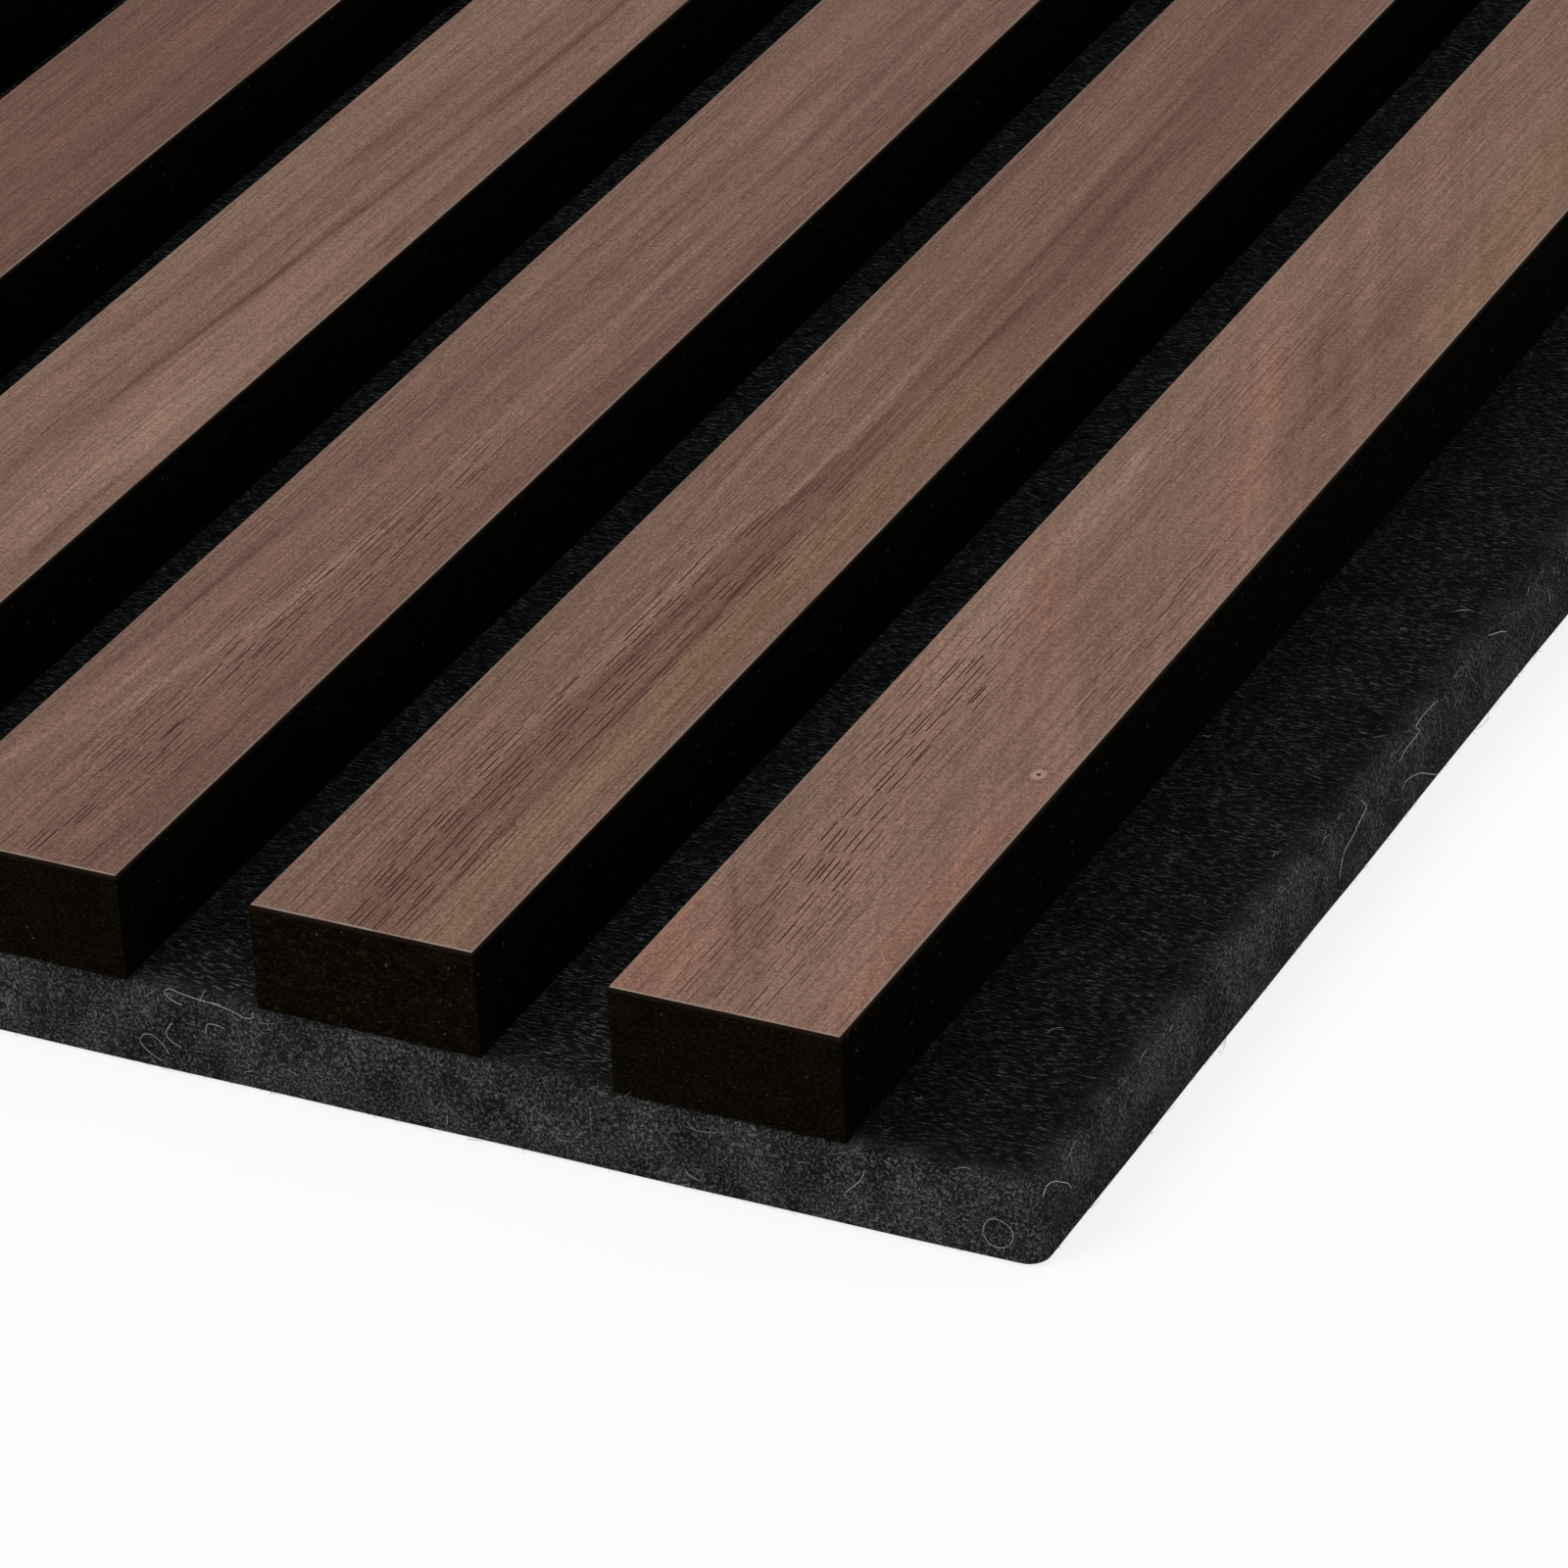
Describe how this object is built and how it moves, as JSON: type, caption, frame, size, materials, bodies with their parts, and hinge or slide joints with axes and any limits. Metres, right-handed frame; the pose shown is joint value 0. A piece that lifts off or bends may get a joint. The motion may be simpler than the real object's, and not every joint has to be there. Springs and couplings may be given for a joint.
{
  "type": "acoustic slat wall panel",
  "caption": "Flat wall panel of walnut-faced black slats side by side on a dark felt sheet, with open channels between them that let the felt absorb sound.",
  "frame": {"origin": "middle of the felt's flat back face", "axes": "+Z out of the slats' faces, away from the wall; +Y along the slats; +X across them, towards the side where bare felt stands out beyond the last slat"},
  "size_m": [0.605, 2.4, 0.021],
  "materials": {
    "felt": "needle-punched polyester felt, dull, with loose pale fibres at its cut edges",
    "black_fibreboard": "black-dyed medium-density fibreboard, sawn and matt",
    "walnut_veneer": "matt lacquered walnut veneer, straight grain along the slat",
    "staple_steel": "bright galvanised flat wire"
  },
  "bodies": {
    "root": {"felt_backing": "felt", "slat_core_01": "black_fibreboard", "slat_core_02": "black_fibreboard", "slat_core_03": "black_fibreboard", "slat_core_04": "black_fibreboard", "slat_core_05": "black_fibreboard", "slat_core_06": "black_fibreboard", "slat_core_07": "black_fibreboard", "slat_core_08": "black_fibreboard", "slat_core_09": "black_fibreboard", "slat_core_10": "black_fibreboard", "slat_core_11": "black_fibreboard", "slat_core_12": "black_fibreboard", "slat_core_13": "black_fibreboard", "slat_core_14": "black_fibreboard", "slat_core_15": "black_fibreboard", "slat_veneer_01": "walnut_veneer", "slat_veneer_02": "walnut_veneer", "slat_veneer_03": "walnut_veneer", "slat_veneer_04": "walnut_veneer", "slat_veneer_05": "walnut_veneer", "slat_veneer_06": "walnut_veneer", "slat_veneer_07": "walnut_veneer", "slat_veneer_08": "walnut_veneer", "slat_veneer_09": "walnut_veneer", "slat_veneer_10": "walnut_veneer", "slat_veneer_11": "walnut_veneer", "slat_veneer_12": "walnut_veneer", "slat_veneer_13": "walnut_veneer", "slat_veneer_14": "walnut_veneer", "slat_veneer_15": "walnut_veneer", "back_staples": "staple_steel"}
  },
  "joints": []
}
